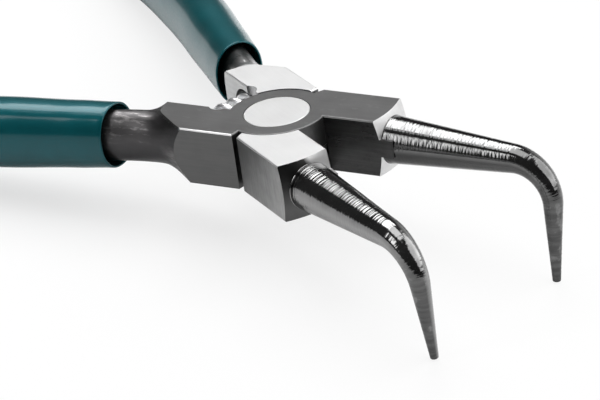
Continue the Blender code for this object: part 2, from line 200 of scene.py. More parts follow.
# The tips, and the turned end of each jaw that they grow out of
TIP_BASE, TIP_END, TIP_OFFSET = 4.83 * MM, 0.82 * MM, 5.4 * MM
TIP_STRAIGHT, TIP_BEND, TIP_NOSE = 27.2 * MM, 8.2 * MM, 16.1 * MM
TIP_FILLET, TIP_ROOT = 0.12 * MM, 0.5 * MM
TOE_IN, BEND_ANGLE, NOSE_LEAN = math.radians(3.8), math.radians(91.0), math.radians(4.4)
BEND_LENGTH = TIP_BEND * BEND_ANGLE
TIP_LENGTH = TIP_STRAIGHT + BEND_LENGTH + TIP_NOSE
TIP_BURIED, TIP_INSET = 1.6 * MM, 0.3 * MM
TIP_END_ROUND = 0.25 * MM
RIDGE, RIDGES_STOP = 0.02 * MM, 1.2 * MM
END_TAPER = math.radians(20.5)
END_CORE_DEPTH, END_CORE_R = 0.4 * MM, 0.2 * MM
# The ground flat beside each tip's root: its ends along the jaw, its width and its height
FLAT_BACK, FLAT_NEAR, FLAT_FAR = 1.0 * MM, 2.9 * MM, 2.6 * MM
FLAT_WIDTH, FLAT_BELOW, FLAT_ABOVE = 1.3 * MM, 1.6 * MM, 2.1 * MM

# The tangs, whose bow starts inside the grips; the far one is splayed and set out a little more
SPLAY = {1: math.radians(10.5), -1: math.radians(11.7)}
OFFSET = {1: 0.14 * MM, -1: 1.35 * MM}
TANG_W, TANG_H, TANG_END_H = 3.6 * MM, 5.47 * MM, 3.8 * MM
TANG_END, TANG_DOME = 112.5 * MM, 3.2 * MM
TANG_DOME_SHARES = (0.0, 0.25, 0.5, 0.7, 0.85, 0.95, 0.99)
BOW_START, BOW_R = 61.0 * MM, 240.0 * MM

# Where each side of the flare starts, and how far from there it has risen by FLARE_RISE
FLARE_RISE = 5.15 * MM
FLARES = {"outer": (32.35 * MM, 13.9 * MM), "inner": (25.95 * MM, 1.95 * MM),
          "top": (27.6 * MM, 10.1 * MM), "bottom": (24.5 * MM, 8.1 * MM)}
# Where the flare's oval sections start to grow square, over what length, and by what power
OUTER_SQUARE, INNER_SQUARE, SQUARE_LENGTH = 22.75 * MM, 27.05 * MM, 3.5 * MM
OUTER_SQUARING, INNER_SQUARING = 0.18, 2.0
# The greatest size and the reach of the flared blank that the head is cut from, with its sections, a size
# that clears all of the head, and how far a cutter runs past a face
BLANK_R, BLANK_REACH, WIDE, OVERRUN = 24 * MM, 50 * MM, 50.0 * MM, 2 * MM
FLARE_STOPS = [(2 + i * 0.55) * MM for i in range(55)]
TANG_STOPS = [(33 + i * 6.3) * MM for i in range(13)]

# The grips, with the share of the full section at each share of the length
GRIP_MOUTH, GRIP_END, GRIP_DOME, GRIP_RIM = 34.6 * MM, 120.5 * MM, 8.5 * MM, 0.24 * MM
GRIP_W, GRIP_H = 5.97 * MM, 7.5 * MM
GRIP_SLANT = math.radians(16)
GRIP_POWER, MOUTH_POWER = 2.2, 2.1
MOUTH_DEPTH, MOUTH_GAP, MOUTH_NARROWING = 7 * MM, 0.75 * MM, 0.5 * MM
SWELL = ((0.0, 0.905), (0.1, 0.935), (0.28, 0.985), (0.5, 1.0), (0.72, 0.97), (0.9, 0.925), (1.0, 0.9))

# The spring and its pockets
POCKET_AT, POCKET_R, POCKET_DEPTH = 16.5 * MM, 4.5 * MM, 6.0 * MM
SPRING_R, WIRE = 3.1 * MM, 1.3 * MM
SPRING_TURNS, END_PITCH = 8.25, 1.75 * MM
SPRING_SHIFT, SPRING_GAP, SPRING_SLACK = 0.35 * MM, 0.3 * MM, math.radians(7.5)


def handle_place(along, side):
    """The middle of a handle's section and the way that its outer side faces."""
    splay = SPLAY[side]
    offset = OFFSET[side] * min(1.0, max(0.0, along / GRIP_MOUTH))
    x = -min(along, BOW_START) * math.cos(splay) + offset * math.sin(splay)
    y = -min(along, BOW_START) * math.sin(splay) - offset * math.cos(splay)
    turn = splay
    if along > BOW_START:
        turn = splay - (along - BOW_START) / BOW_R
        x -= BOW_R * (math.sin(splay) - math.sin(turn))
        y -= BOW_R * (math.cos(turn) - math.cos(splay))
    return Vector((x, y * side, MID)), Vector((math.sin(turn), -math.cos(turn) * side, 0))


def handle_ring(along, side, outer, inner, height, powers=(2.0, 2.0), slant=0.0, points=96):
    """One section of a handle: an oval, nearer to a rectangle where the outer or inner power is above 2."""
    centre, outward = handle_place(along, side)
    rearward = outward.cross(Vector((0, 0, side)))
    ring = []
    for i in range(points):
        a = 2 * math.pi * i / points
        c, s = math.cos(a), math.sin(a)
        width, power = (outer, powers[0]) if c > 0 else (inner, powers[1])
        across = math.copysign(abs(c) ** (2 / power), c) * width
        up = math.copysign(abs(s) ** (2 / power), s) * height
        ring.append(centre + outward * across + rearward * across * math.tan(slant) + Vector((0, 0, up)))
    return ring


def tang_section(along):
    part = max(0.0, (along - GRIP_MOUTH) / (TANG_END - GRIP_MOUTH))
    height = TANG_H + (TANG_END_H - TANG_H) * part
    return TANG_W * height / TANG_H, height


def flared(size, along, part):
    root, length = FLARES[part]
    return min(BLANK_R, size + FLARE_RISE * (max(0.0, root - along) / length) ** 2)


def forging_ring(along, side):
    width, height = tang_section(along)
    squared = [min(1.0, max(0.0, (start - along) / SQUARE_LENGTH)) for start in (OUTER_SQUARE, INNER_SQUARE)]
    powers = (2.0 + OUTER_SQUARING * squared[0], 2.0 + INNER_SQUARING * squared[1])
    outer, inner = flared(width, along, "outer"), flared(width, along, "inner")
    above, below = flared(height, along, "top"), flared(height, along, "bottom")
    ring = handle_ring(along, side, outer, inner, 1.0, powers)
    return [Vector((p.x, p.y, MID + (p.z - MID) * (above if p.z > MID else below))) for p in ring]


def head_outline(side):
    jaw_foot = (JAW_FOOT, math.sqrt(RECESS ** 2 - JAW_FOOT ** 2))
    shoulder_foot = (-SHOULDER_FOOT, -math.sqrt(RECESS ** 2 - SHOULDER_FOOT ** 2))
    front = JAW_LENGTH + BLANK_R
    points = [(front, JAW_FACE), (front, HALF_WIDTH), (JAW_BACK, HALF_WIDTH), jaw_foot]
    points += arc(RING, math.atan2(jaw_foot[1], jaw_foot[0]), math.pi + math.asin(SHOULDER_FACE / RING))
    points += [(-SHOULDER_REACH, -SHOULDER_FACE), (-SHOULDER_REACH, WIDE), (-GRIP_END - WIDE, WIDE)]
    points += [(-GRIP_END - WIDE, -WIDE), (-SHOULDER_REACH, -WIDE), (-SHOULDER_REACH, -HALF_WIDTH)]
    points += [(-SHOULDER_FRONT, -HALF_WIDTH), shoulder_foot]
    points += arc(RING, math.atan2(shoulder_foot[1], shoulder_foot[0]), math.asin(JAW_FACE / RING))
    return [(x, y * side) for x, y in points]


def tip_forward(side):
    return Vector((math.cos(TOE_IN), -math.sin(TOE_IN) * side, 0))


def tip_start(side):
    return Vector((JAW_LENGTH, TIP_OFFSET * side, MID))


def jaw_end_place(side):
    """The frame of the turned end of a jaw, with Z along its tip."""
    turn = tip_forward(side).to_track_quat("Z", "Y").to_matrix().to_4x4()
    return Matrix.Translation(tip_start(side)) @ turn


def tip_radius(along):
    return TIP_BASE + (TIP_END - TIP_BASE) * along / TIP_LENGTH


# The halves: a head with ground faces and its forged tang, and a turned tip

def forging_envelope(side):
    """The blank round the head that narrows through the flare into the tang."""
    stops = [-BLANK_REACH] + FLARE_STOPS + TANG_STOPS
    rings = [forging_ring(stop, side) for stop in stops if stop < TANG_END - TANG_DOME]
    for part in TANG_DOME_SHARES:
        shrink = math.sqrt(1 - part * part)
        width, height = (size * shrink for size in tang_section(TANG_END))
        rings.append(handle_ring(TANG_END - TANG_DOME * (1 - part), side, width, width, height))
    return loft("envelope", rings)


def jaw_end_cutter(side):
    """All that lies ahead of the jaw's turned end: a wide cone round the tip's root."""
    back = TIP_ROOT - (BLANK_R - TIP_BASE) * math.tan(END_TAPER)
    profile = [(WIDE, BLANK_R), (back, BLANK_R), (TIP_ROOT, TIP_BASE),
               (TIP_ROOT + END_CORE_DEPTH, END_CORE_R)]
    return turned("jaw_end", profile, jaw_end_place(side))


def ground_flat(side):
    outline = [(JAW_LENGTH - FLAT_BACK, JAW_FACE * side), (JAW_LENGTH + FLAT_NEAR, JAW_FACE * side),
               (JAW_LENGTH + FLAT_FAR, FLAT_WIDTH * side), (JAW_LENGTH - FLAT_BACK, FLAT_WIDTH * side)]
    return prism("ground_flat", outline, MID - FLAT_BELOW, MID + FLAT_ABOVE)


def half_body(side, lap_on_top):
    cut_low, cut_high = -HEAD - OVERRUN, MID + LAP_GAP / 2
    if not lap_on_top:
        cut_low, cut_high = MID - LAP_GAP / 2, OVERRUN
    recess = turned("recess", [(cut_low, RECESS), (cut_high, RECESS)])
    head_r, shank = RIVET_R + RIVET_GAP, SHANK_R + RIVET_GAP
    low_head, high_head = -HEAD + RIVET_DEPTH + RIVET_GAP, -RIVET_DEPTH - RIVET_GAP
    bore = turned("bore", [(-HEAD - OVERRUN, head_r), (low_head, head_r), (low_head, shank),
                           (high_head, shank), (high_head, head_r), (OVERRUN, head_r)])
    behind = Matrix.Translation((-RELIEF_AT, 0, 0))
    relief = turned("relief", [(-HEAD - OVERRUN, RELIEF_R), (OVERRUN, RELIEF_R)], behind, 48)
    into = Vector((0, -side, 0)).to_track_quat("Z", "X").to_matrix().to_4x4()
    pocket_place = Matrix.Translation((-POCKET_AT, 0, MID)) @ into
    pocket = turned("pocket", [(0, POCKET_R), (SHOULDER_FACE + POCKET_DEPTH, POCKET_R)], pocket_place, 64)
    steps = [("INTERSECT", forging_envelope(side)), ("DIFFERENCE", jaw_end_cutter(side)),
             ("UNION", ground_flat(side))]
    steps += [("DIFFERENCE", cutter) for cutter in (recess, bore, relief, pocket)]
    return cut_mesh("half", prism("half", head_outline(side), -HEAD, 0.0, CHAMFER), steps)


TOP, SIDE, INNER, END, FORGED, EDGE = range(6)
# Limits that tell a half's faces apart: only the ground flat lies past FLAT_FROM, the turned end lies past
# END_FROM and at most END_BEHIND behind its cone, and the tang behind CHAMFER_FROM has no chamfers
FLAT_FROM, END_FROM, CHAMFER_FROM = JAW_LENGTH + 0.7 * MM, 15 * MM, -32 * MM
END_BEHIND, EDGE_INSIDE = 0.5 * MM, 0.5 * MM
NEAR_PLANE, NEAR_PIVOT, NEAR_RING = 0.02 * MM, 6 * MM, RECESS + 0.1 * MM


def face_kind(face, side, from_jaw_end):
    """The kind of a half's face, told by the way it faces and by its place."""
    n, c = face.normal, face.center
    local = from_jaw_end @ c
    cone = TIP_ROOT - (math.hypot(local.x, local.y) - TIP_BASE) * math.tan(END_TAPER)
    if c.x > FLAT_FROM:
        return INNER
    if abs(n.z) > 0.999:
        return TOP
    if c.x > END_FROM and local.z > cone - END_BEHIND and abs(n.z) < 0.95 and n.x > 0.1:
        return END
    if 0.1 < abs(n.z) < 0.98 and min(-c.z, c.z + HEAD) < CHAMFER and c.x > CHAMFER_FROM:
        if c.z < MID:
            return INNER
        if side < 0:
            return TOP
        return EDGE if abs(c.y) > HALF_WIDTH - EDGE_INSIDE else SIDE
    if abs(n.z) < 0.05:
        if abs(abs(c.y) - HALF_WIDTH) < NEAR_PLANE:
            return SIDE
        inner = min(abs(abs(c.y) - y) for y in (SHOULDER_FACE, JAW_FACE)) < NEAR_PLANE
        if abs(n.y) > 0.999 and inner:
            return INNER
        if abs(c.x) < NEAR_PIVOT:
            return SIDE
    if math.hypot(c.x, c.y) < NEAR_RING:
        return TOP if abs(n.z) > 0.9 else SIDE
    return FORGED


def sort_faces(mesh, side):
    """Gives each face of a half its material's index, and keeps the flat ground faces flat shaded."""
    from_jaw_end = jaw_end_place(side).inverted()
    kinds = [face_kind(face, side, from_jaw_end) for face in mesh.polygons]
    smooth = []
    for face, kind in zip(mesh.polygons, kinds):
        level = max(abs(face.normal.y), abs(face.normal.z)) > 0.9999
        smooth.append(not (level and kind in (TOP, SIDE, INNER)))
    mesh.polygons.foreach_set("material_index", kinds)
    mesh.polygons.foreach_set("use_smooth", smooth)
    mesh.update()


def tip_stops():
    """Places along a tip with the radius there: the root's fillet, uneven tool marks and the rounded end."""
    stops = [(-TIP_BURIED, TIP_BASE - TIP_INSET), (TIP_ROOT - TIP_INSET, TIP_BASE - TIP_INSET),
             (TIP_ROOT, TIP_BASE)]
    for i in range(1, 9):
        a = math.pi / 2 * i / 8
        along = TIP_ROOT + TIP_FILLET * math.sin(a)
        stops.append((along, tip_radius(along) + TIP_FILLET * (1 - math.sin(a)) * 0.5))
    last = TIP_LENGTH - TIP_END_ROUND
    along, k = stops[-1][0], 0
    while along < last - RIDGES_STOP:
        pitch = (0.78 + 0.2 * math.sin(2.4 * k) + 0.12 * math.sin(5.1 * k)) * MM
        depth = (0.55 + 0.45 * math.sin(1.7 * k + 0.6 * math.sin(0.9 * k))) * RIDGE
        for i in range(1, 7):
            at = along + pitch * i / 6
            stops.append((at, tip_radius(at) - depth * (0.5 - 0.5 * math.cos(2 * math.pi * i / 6))))
        along += pitch
        k += 1
    stops.append((last, tip_radius(last)))
    for i in range(1, 5):
        a = math.pi / 2 * i / 4
        radius = tip_radius(last) - TIP_END_ROUND * (1 - math.cos(a))
        stops.append((last + TIP_END_ROUND * math.sin(a), radius))
    return stops


def tip_mesh(side):
    """A turned tip, with U round it and V along it in units of 100 mm."""
    start, forward = tip_start(side), tip_forward(side)
    level = Vector((-math.sin(TOE_IN), -math.cos(TOE_IN) * side, 0))
    down = Vector((0, 0, -1)) * math.cos(NOSE_LEAN) + level * math.sin(NOSE_LEAN)

    def place(along):
        if along <= TIP_STRAIGHT:
            return start + forward * along, forward
        turn = min(BEND_ANGLE, (along - TIP_STRAIGHT) / TIP_BEND)
        heading = forward * math.cos(turn) + down * math.sin(turn)
        ahead = forward * (TIP_STRAIGHT + TIP_BEND * math.sin(turn))
        point = start + ahead + down * TIP_BEND * (1 - math.cos(turn))
        return point + heading * max(0.0, along - TIP_STRAIGHT - BEND_LENGTH), heading

    rings, lengths = [], []
    for along, radius in tip_stops():
        centre, heading = place(along)
        across = heading.cross(level).normalized()
        aside = heading.cross(across).normalized()
        angles = [2 * math.pi * i / 72 for i in range(72)]
        rings.append([centre + across * radius * math.cos(a) + aside * radius * math.sin(a) for a in angles])
        lengths.append(along / MM / 100)
    return loft("tip", rings, uv=lengths, degrees=40)


def grip_outer(along):
    at = (along - GRIP_MOUTH) / (GRIP_END - GRIP_MOUTH)
    share = SWELL[-1][1]
    for (low, a), (high, b) in zip(SWELL, SWELL[1:]):
        if at <= high:
            part = (at - low) / (high - low)
            share = a + (b - a) * part * part * (3 - 2 * part)
            break
    return GRIP_W * share, GRIP_H * share


def grip_mesh(side):
    """A dipped grip: its rounded end, its swelling length, its rim, and a way inside towards the tang."""
    rear, front = GRIP_END - GRIP_DOME, GRIP_MOUTH + GRIP_RIM
    rings = []

    def skin(along, width, height):
        slant = GRIP_SLANT * min(1.0, max(0.0, (rear - along) / (rear - front)))
        rings.append(handle_ring(along, side, width, width, height, (GRIP_POWER, GRIP_POWER), slant))

    width, height = grip_outer(rear)
    for i in range(1, 16):
        a = math.pi / 2 * i / 16
        skin(rear + GRIP_DOME * math.cos(a), width * math.sin(a), height * math.sin(a))
    for i in range(81):
        along = rear + (front - rear) * i / 80
        skin(along, *grip_outer(along))
    width, height = grip_outer(GRIP_MOUTH)
    for i in range(1, 9):
        a = math.pi * i / 8
        inset = GRIP_RIM * (1 - math.cos(a)) * 0.9
        skin(GRIP_MOUTH + GRIP_RIM * (1 - math.sin(a)), width - inset, height - inset)
    for i in range(1, 13):
        along = front + MOUTH_DEPTH * i / 12
        inner_w, inner_h = tang_section(along)
        gap = MOUTH_GAP - MOUTH_NARROWING * i / 12
        share = min(1.0, i / 10)
        w = (width - inset) * (1 - share) + (inner_w + gap) * share
        h = (height - inset) * (1 - share) + (inner_h + gap) * share
        rings.append(handle_ring(along, side, w, w, h, (MOUTH_POWER, MOUTH_POWER), GRIP_SLANT))
    return loft("grip", rings, caps=(True, False), degrees=60)


def spring_mesh():
    """A coil bent evenly between its two pockets, with closer turns at both ends."""
    lean_in = HALF_OPENING - SPRING_SLACK
    mouth = Matrix.Rotation(HALF_OPENING, 2) @ Vector((SPRING_SHIFT - POCKET_AT, -SHOULDER_FACE))
    into = Matrix.Rotation(lean_in, 2) @ Vector((0, -1))
    bend = -mouth.y / math.sin(lean_in)
    centre_x = mouth.x + bend * math.cos(lean_in)
    straight = POCKET_DEPTH - SPRING_GAP - WIRE / 2
    arc_length = 2 * lean_in * bend
    whole = 2 * straight + arc_length

    def place(along):
        across = along - whole / 2
        if abs(across) <= arc_length / 2:
            a = across / bend
            return Vector((centre_x - bend * math.cos(a), bend * math.sin(a), MID)), a
        point = mouth + into * (abs(across) - arc_length / 2)
        sign = math.copysign(1.0, across)
        return Vector((point.x, -point.y * sign, MID)), lean_in * sign

    body_turns = SPRING_TURNS - 2
    pitch = (whole - 2 * END_PITCH) / body_turns
    count = round(SPRING_TURNS * 48)
    path = []
    for i in range(count + 1):
        by = SPRING_TURNS * i / count
        first, last = min(by, 1), max(by - 1 - body_turns, 0)
        along = (first + last) * END_PITCH + min(max(by - 1, 0), body_turns) * pitch
        centre, lean = place(along)
        a = 2 * math.pi * by
        aside = Vector((-math.cos(lean), math.sin(lean), 0))
        path.append(centre + aside * SPRING_R * math.cos(a) + Vector((0, 0, SPRING_R * math.sin(a))))
    rings = []
    previous = Vector((0, 0, 1))
    for i, point in enumerate(path):
        heading = (path[min(i + 1, count)] - path[max(i - 1, 0)]).normalized()
        aside = (previous - heading * previous.dot(heading)).normalized()
        above = heading.cross(aside)
        previous = aside
        rings.append([point + (aside * math.cos(b) + above * math.sin(b)) * WIRE / 2
                      for b in (2 * math.pi * k / 14 for k in range(14))])
    return loft("spring", rings, degrees=50)


# Materials

def grey(value):
    return (value, value, value)


def is_output(value):
    return isinstance(value, bpy.types.NodeSocket)


class Graph:
    """A node tree, with one short call for each kind of node used here.

    A value is a number or another node's output, and a colour is three numbers or an output.
    """

    def __init__(self, tree):
        self.nodes, self.links = tree.nodes, tree.links

    def add(self, kind):
        return self.nodes.new("ShaderNode" + kind)

    def feed(self, socket, value):
        if is_output(value):
            self.links.new(value, socket)
        else:
            socket.default_value = value

    def calculate(self, operation, a, b=0.0):
        item = self.add("Math")
        item.operation = operation
        self.feed(item.inputs[0], a)
        self.feed(item.inputs[1], b)
        return item.outputs["Value"]

    def product(self, *values):
        total = values[0]
        for value in values[1:]:
            total = self.calculate("MULTIPLY", total, value)
        return total

    def weighted(self, *parts):
        """The sum of values times weights."""
        total = self.product(*parts[0])
        for part in parts[1:]:
            total = self.calculate("ADD", total, self.product(*part))
        return total

    def remap(self, value, low, high, to_low=0.0, to_high=1.0):
        item = self.add("MapRange")
        for key, number in (("From Min", low), ("From Max", high), ("To Min", to_low), ("To Max", to_high)):
            item.inputs[key].default_value = number
        self.feed(item.inputs["Value"], value)
        return item.outputs["Result"]

    def mix(self, factor, a, b):
        item = self.add("Mix")
        item.data_type = "RGBA"
        self.feed(item.inputs[0], factor)
        for socket, color in ((item.inputs[6], a), (item.inputs[7], b)):
            self.feed(socket, color if is_output(color) else (*color, 1.0))
        return item.outputs[2]

    def noise(self, vector, scale, detail=3.0, rough=0.6):
        item = self.add("TexNoise")
        item.inputs["Scale"].default_value = scale
        item.inputs["Detail"].default_value = detail
        item.inputs["Roughness"].default_value = rough
        self.feed(item.inputs["Vector"], vector)
        return item.outputs["Fac"]

    def coordinates(self, scale=(1, 1, 1), side=0):
        """Object coordinates scaled by axis, along one half's own centre line when side is given."""
        where = self.add("TexCoord").outputs["Object"]
        if side:
            straight = self.add("Mapping")
            straight.inputs["Rotation"].default_value = ARM[side].to_3x3().inverted().to_euler()
            self.feed(straight.inputs["Vector"], where)
            where = straight.outputs["Vector"]
        mapping = self.add("Mapping")
        mapping.inputs["Scale"].default_value = scale
        self.feed(mapping.inputs["Vector"], where)
        return mapping.outputs["Vector"]

    def closed_frame(self, side):
        """X, Y and Z in millimetres in one half's own closed frame, with Y positive on its jaw's side."""
        back = ARM[side].inverted()
        mapping = self.add("Mapping")
        mapping.inputs["Scale"].default_value = (1000, 1000, 1000)
        mapping.inputs["Rotation"].default_value = back.to_3x3().to_euler()
        mapping.inputs["Location"].default_value = back.translation * 1000
        self.feed(mapping.inputs["Vector"], self.add("TexCoord").outputs["Object"])
        split = self.add("SeparateXYZ")
        self.feed(split.inputs[0], mapping.outputs["Vector"])
        return split.outputs["X"], self.product(split.outputs["Y"], side), split.outputs["Z"]


class Look(Graph):
    """A new material's graph, with its shader."""

    def __init__(self, name, base, metallic, roughness):
        self.material = bpy.data.materials.new(name)
        self.material.use_nodes = True
        super().__init__(self.material.node_tree)
        self.shader = self.nodes["Principled BSDF"]
        self.shader.inputs["Base Color"].default_value = (*base, 1.0)
        self.shader.inputs["Metallic"].default_value = metallic
        self.shader.inputs["Roughness"].default_value = roughness

    def surface(self, color, roughness):
        self.feed(self.shader.inputs["Base Color"], color)
        self.feed(self.shader.inputs["Roughness"], roughness)

    def bump(self, height, strength, distance):
        item = self.add("Bump")
        item.inputs["Strength"].default_value = strength
        item.inputs["Distance"].default_value = distance
        self.feed(item.inputs["Height"], height)
        self.feed(self.shader.inputs["Normal"], item.outputs["Normal"])
        return item.outputs["Normal"]


# The near black that painted shade mixes into the ground steel
SHADE = grey(0.012)


def ground_steel(name, low, high, rough, side, streak=(120, 2600, 2600), speck=0.0, relief=0.12, shade=None):
    """Steel ground in long fine streaks, with soft patches and a few light specks.

    shade, when given, is a function of the half's closed frame whose result from 0 to 1 darkens the steel
    with painted shade.
    """
    look = Look(name, low, 1.0, rough)
    fine = look.noise(look.coordinates(streak, side), 1.0, 4.0)
    soft = look.noise(look.coordinates(), 240.0, 3.0, 0.5)
    both = look.weighted((fine, 0.55), (soft, 0.45))
    factor = look.remap(both, 0.3, 0.7)
    if speck:
        dots = look.noise(look.coordinates((0.6, 1, 1), side), 520.0)
        factor = look.calculate("ADD", factor, look.remap(dots, 0.62, 0.69, 0.0, speck))
    color = look.mix(factor, low, high)
    if shade:
        color = look.mix(shade(look, *look.closed_frame(side)), color, SHADE)
    look.surface(color, look.remap(both, 0.3, 0.7, rough * 0.94, rough * 1.06))
    look.bump(fine, relief, 0.00003)
    return look.material


def forged_dark():
    """Dark scale, smooth below, with pale scuffs high outside on an upper part that is a little lighter as
    painted light, and a lighter lower edge by the flare.
    """
    look = Look("dark_forged", grey(0.07), 1.0, 0.4)
    x, y, z = look.closed_frame(1)
    lumps = look.noise(look.coordinates(), 300.0, 3.0, 0.55)
    rubs = look.noise(look.coordinates((0.3, 1, 1.3), 1), 1150.0, 4.0, 0.62)
    high = look.remap(z, -6.4, -3.6)
    back = look.remap(x, -24.0, -27.0)
    scuffs = look.product(high, back, look.remap(rubs, 0.5, 0.68))
    low_edge = look.product(look.remap(y, -9.9, -11.2), look.remap(z, -4.5, -7.0))
    edge = look.product(low_edge, look.remap(rubs, 0.35, 0.6, 0.35))
    light = look.calculate("MAXIMUM", scuffs, edge)
    # The upper part behind the flare is lifted a little all over: painted light on the top
    light = look.calculate("MAXIMUM", light, look.product(high, back, 0.16))
    color = look.mix(light, (0.07, 0.068, 0.07), (0.27, 0.26, 0.26))
    look.surface(color, look.remap(rubs, 0.3, 0.7, 0.46, 0.34))
    look.bump(look.calculate("ADD", look.product(lumps, 0.5), look.product(high, rubs, 0.6)), 0.3, 0.0003)
    return look.material


def forged_bright():
    """Lighter scale on the far half: bright on the flare, and darker where the tang runs into its grip as
    painted shade.
    """
    look = Look("bright_forged", grey(0.4), 1.0, 0.34)
    x = look.closed_frame(-1)[0]
    lumps = look.noise(look.coordinates(), 330.0)
    rubs = look.noise(look.coordinates((0.4, 1, 1), -1), 900.0, 4.0)
    # Darker towards the grip: painted shade where the tang runs into the grip's mouth
    flare = look.remap(x, -30.0, -25.5, 0.0, 0.75)
    light = look.calculate("ADD", flare, look.remap(rubs, 0.42, 0.7, 0.0, 0.3))
    look.surface(look.mix(light, grey(0.1), grey(0.66)), look.remap(rubs, 0.3, 0.7, 0.4, 0.26))
    look.bump(lumps, 0.25, 0.0004)
    return look.material


def turned_steel(name, low, high, painted_underside, bottom):
    """Blackened steel turned in fine rings, with patches and light scratches, and another tone on its lower
    side: a painted reflection of the floor where that tone is lighter, painted shade where it is darker.

    The nose is darker and mottled, with a lighter strip on its front that is a painted reflection of the
    floor. bottom is the place round the tip, from 0 to 1 in the mesh's U, that faces down.
    """
    look = Look(name, low, 1.0, 0.2)
    split = look.add("SeparateXYZ")
    look.feed(split.inputs[0], look.add("TexCoord").outputs["UV"])
    u, v = split.outputs["X"], split.outputs["Y"]
    join = look.add("CombineXYZ")
    look.feed(join.inputs["X"], v)
    look.feed(join.inputs["Y"], look.product(u, 0.012))
    coarse = look.noise(join.outputs[0], 90.0, 2.0)
    fine = look.noise(join.outputs[0], 210.0, 2.0, 0.65)
    rings = look.weighted((coarse, 0.4), (fine, 0.6))
    patches = look.noise(look.coordinates(), 260.0, 4.0)
    scratches = look.noise(look.coordinates((500, 1400, 2200)), 1.0)

    def facing(place):
        """1 where the tip faces that place round it, and -1 on the opposite side."""
        turn = look.calculate("SUBTRACT", u, place)
        return look.calculate("COSINE", look.product(turn, 2 * math.pi))

    marks = look.calculate("ADD", look.remap(patches, 0.35, 0.7, 0.0, 0.6),
                           look.remap(scratches, 0.66, 0.72, 0.0, 1.4))
    # The lower side gets another tone: a painted reflection of the floor where it is lighter, painted shade
    # where it is darker
    shaft = look.mix(look.remap(facing(bottom), -0.3, 0.05), look.mix(marks, low, high), painted_underside)
    nose_mottling = look.calculate("ADD", look.remap(coarse, 0.4, 0.7, 0.0, 0.5),
                          look.remap(patches, 0.55, 0.66, 0.0, 1.2))
    # A lighter strip on the nose's front: painted reflection of the floor
    painted_nose_reflection = look.remap(facing(bottom + 0.34), 0.5, 1.0)
    nose = look.mix(painted_nose_reflection, look.mix(nose_mottling, grey(0.07), grey(0.19)), grey(0.4))
    color = look.mix(look.remap(v, 0.31, 0.4, 0.0, 0.85), shaft, nose)
    look.surface(color, look.remap(rings, 0.35, 0.65, 0.09, 0.15))
    look.bump(rings, 1.0, 0.00009)
    return look.material


def grip_plastic():
    """Dipped plastic: dark teal with a soft teal gloss under a clear shine, a slight ripple and some dust."""
    look = Look("grip_teal", (0.0, 0.08, 0.078), 0.0, 0.42)
    shader = look.shader
    shader.inputs["IOR"].default_value = 1.5
    shader.inputs["Specular IOR Level"].default_value = 0.55
    shader.inputs["Specular Tint"].default_value = (0.03, 0.8, 1.0, 1.0)
    shader.inputs["Coat Weight"].default_value = 0.85
    shader.inputs["Coat Roughness"].default_value = 0.15
    shader.inputs["Coat IOR"].default_value = 1.38
    soft = look.noise(look.coordinates(), 160.0, 3.0, 0.5)
    dust = look.noise(look.coordinates(), 2400.0)
    color = look.mix(look.remap(soft, 0.3, 0.7), (0.0, 0.038, 0.043), (0.0002, 0.05, 0.057))
    look.surface(color, look.remap(dust, 0.3, 0.75, 0.38, 0.46))
    look.feed(shader.inputs["Coat Normal"], look.bump(soft, 0.06, 0.0006))
    return look.material


def spring_wire():
    look = Look("spring_bright", (0.9, 0.9, 0.91), 1.0, 0.25)
    marks = look.noise(look.coordinates(), 1800.0)
    color = look.mix(marks, (0.92, 0.92, 0.93), (0.97, 0.97, 0.98))
    look.surface(color, look.remap(marks, 0.3, 0.7, 0.3, 0.42))
    return look.material


def side_shade(look, x, y, z):
    """Painted shade on the bright half's outer side: dark near the pivot's top corner and lighter towards its
    lower front.
    """
    return look.remap(look.weighted((x, 1.0), (z, -0.9)), 9.0, 27.0, 0.66, 0.0)


def top_shade(look, x, y, z):
    """Painted shade on the bright half's top, a little darker towards the jaw, which lies nearer the lamps'
    reflection.
    """
    return look.remap(x, -15.0, 15.0, 0.11, 0.19)


def end_shade(look, x, y, z):
    """Painted shade on the bright half's turned end: near black outside the tip, deepest at the top, none by
    the centre line.
    """
    outside = look.remap(look.weighted((y, 1.0), (z, -0.35)), 4.9, 6.1)
    return look.product(outside, look.remap(z, -9.5, -4.5, 0.74, 0.95))


# Each half's materials in the order of the kinds of face; the dark half's chamfered top edges along its sides
# are lighter, partly worn and partly a painted highlight, and the bright half has no such edge
TURNED, UPRIGHT = (900, 900, 900), (2400, 2400, 160)
DARK = [
    ground_steel("dark_top", grey(0.12), grey(0.158), 0.44, 1, speck=3.0),
    # The side is a little darker than the top: painted shade
    ground_steel("dark_side_painted_shade", grey(0.102), grey(0.124), 0.36, 1),
    # The inner faces, between the halves, are much darker than the top: painted shade
    ground_steel("dark_inner_painted_shade", grey(0.042), grey(0.074), 0.28, 1),
    # The turned end is much lighter than the rest of the dark half: a painted reflection
    ground_steel("dark_end_painted_reflection", grey(0.62), grey(0.74), 0.36, 1, TURNED),
    forged_dark(),
    # Lighter chamfered top edges: partly wear, partly a painted highlight
    ground_steel("dark_edge_worn_painted_highlight", grey(0.32), grey(0.5), 0.3, 1),
]
BRIGHT = [
    # The top carries painted shade from top_shade, a little darker towards the jaw
    ground_steel("bright_top", grey(0.82), grey(0.87), 0.44, -1, relief=0.05, shade=top_shade),
    # The side is darker than the top, with painted shade from side_shade
    ground_steel("bright_side_painted_shade", grey(0.24), grey(0.5), 0.3, -1, UPRIGHT, shade=side_shade),
    # The inner faces, between the halves, are darker than the top: painted shade
    ground_steel("bright_inner_painted_shade", grey(0.4), grey(0.6), 0.34, -1),
    # The turned end carries painted shade from end_shade
    ground_steel("bright_end_painted_shade", grey(0.4), grey(0.46), 0.3, -1, TURNED, shade=end_shade),
    forged_bright(),
]
